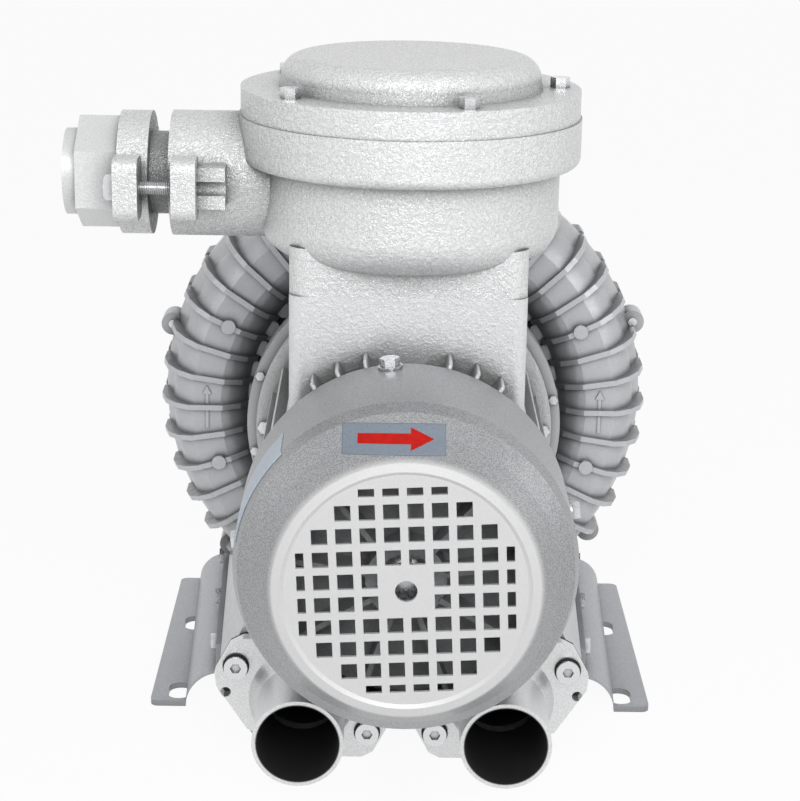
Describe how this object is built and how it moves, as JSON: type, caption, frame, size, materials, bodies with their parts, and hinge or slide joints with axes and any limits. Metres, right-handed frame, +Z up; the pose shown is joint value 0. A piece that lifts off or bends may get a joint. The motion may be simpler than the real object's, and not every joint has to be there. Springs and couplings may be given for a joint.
{
  "type": "side channel blower",
  "caption": "Side channel blower with a ribbed ring housing, flameproof motor, round junction box with cable gland, twin ports and slotted feet.",
  "frame": {"origin": "centre of the four foot slots on the mounting plane, under the feet", "axes": "+Z up, +Y along the shaft from the motor's fan to the blower, +X to the right seen from the fan end"},
  "size_m": [0.37, 0.4388, 0.429],
  "materials": {
    "blower_casting": "satin silver paint over die casting",
    "motor_casting": "satin silver paint over casting",
    "box_casting": "silver paint over rough sand casting",
    "gland_casting": "silver paint over machined steel",
    "cowl_paint": "hammered silver paint on pressed sheet",
    "port_casting": "as cast, lightly polished",
    "foot_sheet": "satin silver paint on steel sheet",
    "zinc_steel": "zinc plated",
    "black_rubber": "matte",
    "foam": "open foam",
    "impeller_alloy": "as cast",
    "core_steel": "laminated steel",
    "copper": "lacquered copper wire",
    "shaft_steel": "ground",
    "bearing_steel": "polished",
    "fan_plastic": "moulded",
    "terminal_plastic": "moulded",
    "brass": "turned"
  },
  "bodies": {
    "frame": {"blower_housing": "blower_casting", "blower_cover": "blower_casting", "cover_screws": "zinc_steel", "inlet_silencer": "foam", "outlet_silencer": "foam", "inlet_pipe_flange": "port_casting", "outlet_pipe_flange": "port_casting", "port_gaskets": "black_rubber", "port_screws": "zinc_steel", "port_screw_seals": "black_rubber", "foot_bracket_left": "foot_sheet", "foot_bracket_right": "foot_sheet", "foot_screws": "zinc_steel", "motor_frame": "motor_casting", "drive_end_shield": "blower_casting", "adapter_screws": "zinc_steel", "shield_screws": "zinc_steel", "fan_end_shield": "motor_casting", "fan_end_screws": "zinc_steel", "stator_core": "core_steel", "stator_windings": "copper", "drive_bearing_outer_ring": "bearing_steel", "fan_bearing_outer_ring": "bearing_steel", "preload_spring": "shaft_steel", "shaft_seal": "black_rubber", "fan_cowl": "cowl_paint", "cowl_washers": "zinc_steel", "cowl_screws": "zinc_steel", "junction_box_body": "box_casting", "junction_box_lid": "box_casting", "lid_screws": "zinc_steel", "box_base_screws": "zinc_steel", "terminal_block": "terminal_plastic", "terminal_studs": "brass", "earth_screw": "brass", "cable_seal_ring": "black_rubber"},
    "rotor": {"rotor_shaft": "shaft_steel", "rotor_core": "core_steel", "rotor_end_rings": "impeller_alloy", "impeller": "impeller_alloy", "impeller_key": "shaft_steel", "impeller_washer": "zinc_steel", "impeller_screw": "zinc_steel", "drive_bearing_inner_ring": "bearing_steel", "fan_bearing_inner_ring": "bearing_steel", "cooling_fan": "fan_plastic", "fan_clip": "shaft_steel"},
    "drive_ball_cage": {"drive_bearing_balls": "bearing_steel", "drive_bearing_cage": "bearing_steel"},
    "fan_ball_cage": {"fan_bearing_balls": "bearing_steel", "fan_bearing_cage": "bearing_steel"},
    "gland_clamp": {"gland_flange": "box_casting", "gland_nut": "gland_casting", "gland_end_ring": "gland_casting", "gland_bolts": "zinc_steel"}
  },
  "joints": [
    {"name": "rotor_spin", "type": "hinge", "parent": "frame", "child": "rotor", "pos_m": [0, 0, 0.1702], "axis": [0, 1, 0], "continuous": true},
    {"name": "drive_cage_spin", "type": "hinge", "parent": "frame", "child": "drive_ball_cage", "pos_m": [0, 0, 0.1702], "axis": [0, 1, 0], "continuous": true},
    {"name": "fan_cage_spin", "type": "hinge", "parent": "frame", "child": "fan_ball_cage", "pos_m": [0, 0, 0.1702], "axis": [0, 1, 0], "continuous": true},
    {"name": "gland_slide", "type": "slide", "parent": "frame", "child": "gland_clamp", "axis": [1, 0, 0], "range_m": [0, 0.005]}
  ],
  "couplings": [
    {"joint": "drive_cage_spin", "follows": "rotor_spin", "ratio": 0.3974},
    {"joint": "fan_cage_spin", "follows": "rotor_spin", "ratio": 0.3974}
  ]
}
